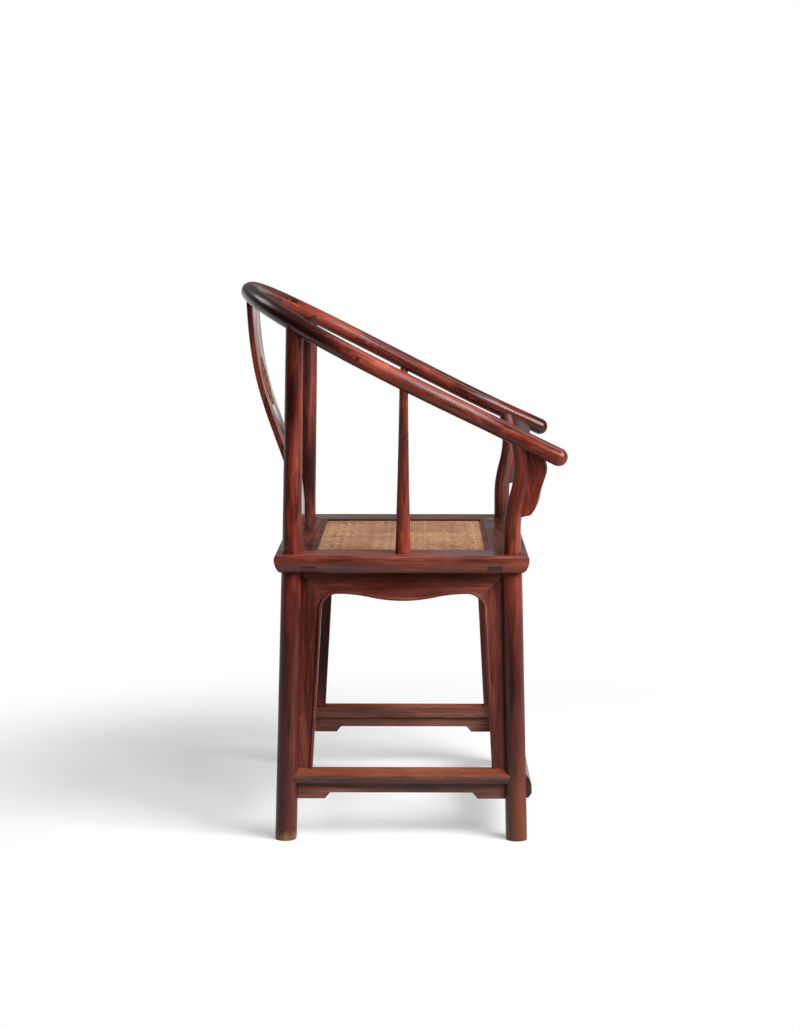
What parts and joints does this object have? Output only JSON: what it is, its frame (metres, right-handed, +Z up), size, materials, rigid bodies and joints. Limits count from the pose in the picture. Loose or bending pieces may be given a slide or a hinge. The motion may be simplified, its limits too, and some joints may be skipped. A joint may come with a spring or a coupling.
{
  "type": "horseshoe back armchair",
  "caption": "Joined hardwood armchair with a round crest rail that runs down into the arms, a bowed splat, a woven cane seat and a footrest stretcher.",
  "frame": {"origin": "on the floor, halfway between the arm tips and the back of the crest rail, midway between the arms", "axes": "+Z up, -Y to the front, +X to the sitter's left"},
  "size_m": [0.6636, 0.5839, 0.9795],
  "materials": {
    "hardwood": "polished, reddish brown",
    "splat_wood": "polished, reddish brown, figured board",
    "cane": "woven, satin",
    "palm_webbing": "corded, matt",
    "strip_wood": "polished"
  },
  "bodies": {
    "root": {"crest_back": "hardwood", "crest_shoulder_left": "hardwood", "crest_shoulder_right": "hardwood", "crest_arm_left": "hardwood", "crest_arm_right": "hardwood", "crest_wedge_pins": "hardwood", "splat": "splat_wood", "seat_rail_left": "hardwood", "seat_rail_right": "hardwood", "seat_rail_back": "hardwood", "seat_rail_front": "hardwood", "seat_brace_left": "hardwood", "seat_brace_right": "hardwood", "rear_leg_left": "hardwood", "rear_leg_right": "hardwood", "front_leg_left": "hardwood", "front_leg_right": "hardwood", "side_post_left": "hardwood", "side_post_right": "hardwood", "arm_spandrel_left": "hardwood", "arm_spandrel_right": "hardwood", "stretcher_left": "hardwood", "stretcher_right": "hardwood", "stretcher_back": "hardwood", "stretcher_front": "hardwood", "side_apron_left": "hardwood", "side_apron_right": "hardwood", "front_apron": "hardwood", "side_flank_rear_left": "hardwood", "side_flank_rear_right": "hardwood", "side_flank_front_left": "hardwood", "side_flank_front_right": "hardwood", "front_flank_left": "hardwood", "front_flank_right": "hardwood", "back_apron": "hardwood", "back_spandrel_left": "hardwood", "back_spandrel_right": "hardwood", "stretcher_apron_left": "hardwood", "stretcher_apron_right": "hardwood", "stretcher_apron_front": "hardwood", "mat_strip_left": "strip_wood", "mat_strip_right": "strip_wood", "mat_strip_back": "strip_wood", "mat_strip_front": "strip_wood", "seat_mat": "cane", "seat_webbing": "palm_webbing"}
  },
  "joints": []
}
